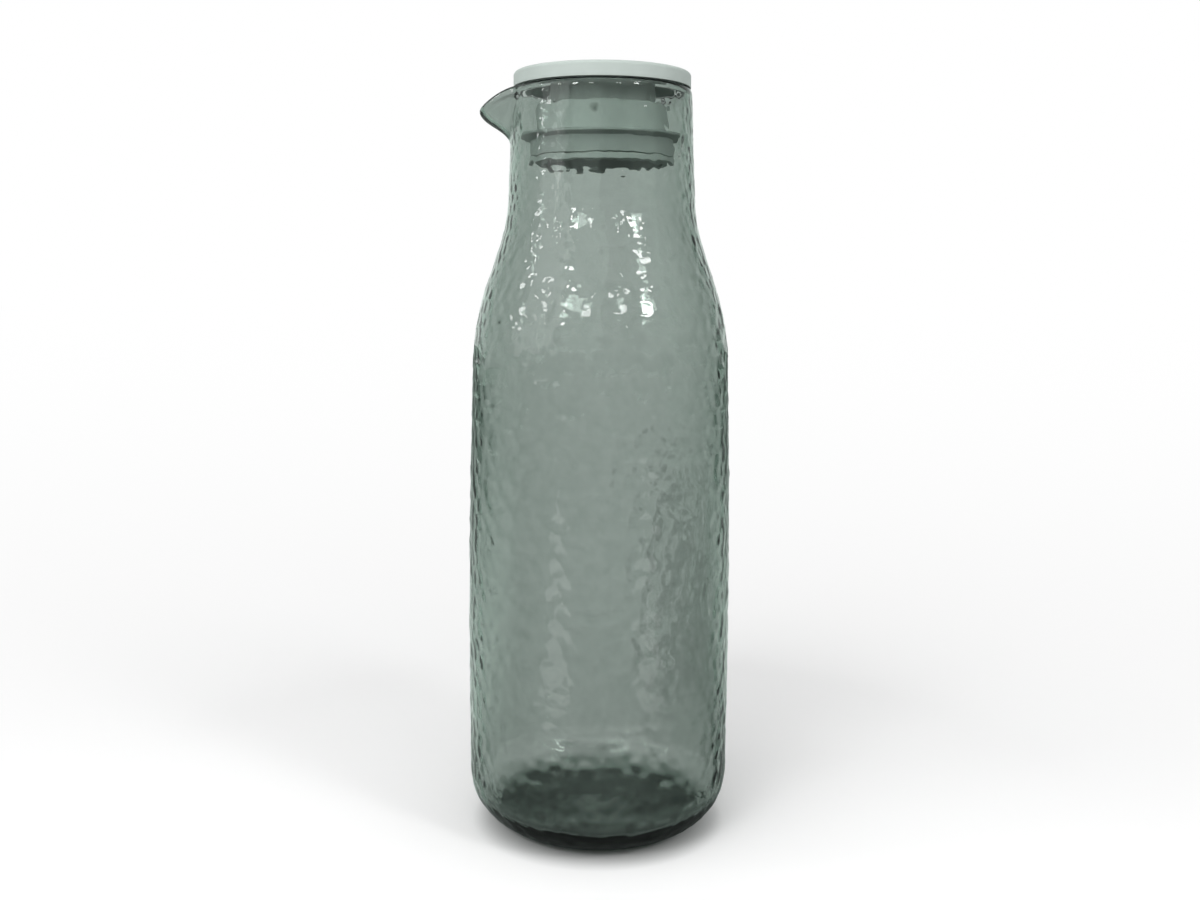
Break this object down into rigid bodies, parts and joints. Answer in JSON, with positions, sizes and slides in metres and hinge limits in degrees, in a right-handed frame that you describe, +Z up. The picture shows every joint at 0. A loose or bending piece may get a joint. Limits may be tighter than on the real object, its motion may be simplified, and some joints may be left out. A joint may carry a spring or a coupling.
{
  "type": "carafe with lid",
  "caption": "Tall smoked hammered-glass carafe with a soft shoulder, a pinched pouring spout in the rim and a round push-in lid with a sealing plug.",
  "frame": {"origin": "on the carafe's axis at the level of the foot ring, where it stands", "axes": "+Z up along the axis of the carafe, -X towards the pouring spout"},
  "size_m": [0.095, 0.095, 0.2705],
  "materials": {
    "smoked_glass": "smoke grey blown glass with shallow hammered dimples",
    "lid_plastic": "satin pale grey moulded plastic",
    "plug_plastic": "satin off-white moulded plastic",
    "seal_silicone": "soft translucent grey silicone"
  },
  "bodies": {
    "carafe": {"glass_body": "smoked_glass"},
    "seal": {"seal_ring": "seal_silicone"},
    "lid": {"lid_cap": "lid_plastic", "plug_cup": "plug_plastic"}
  },
  "joints": [
    {"name": "lid_lift", "type": "slide", "parent": "carafe", "child": "seal", "axis": [0, 0, 1], "range_m": [0, 0.06]},
    {"name": "lid_turn", "type": "hinge", "parent": "seal", "child": "lid", "pos_m": [0, 0, 0.2653], "axis": [0, 0, 1], "continuous": true}
  ]
}
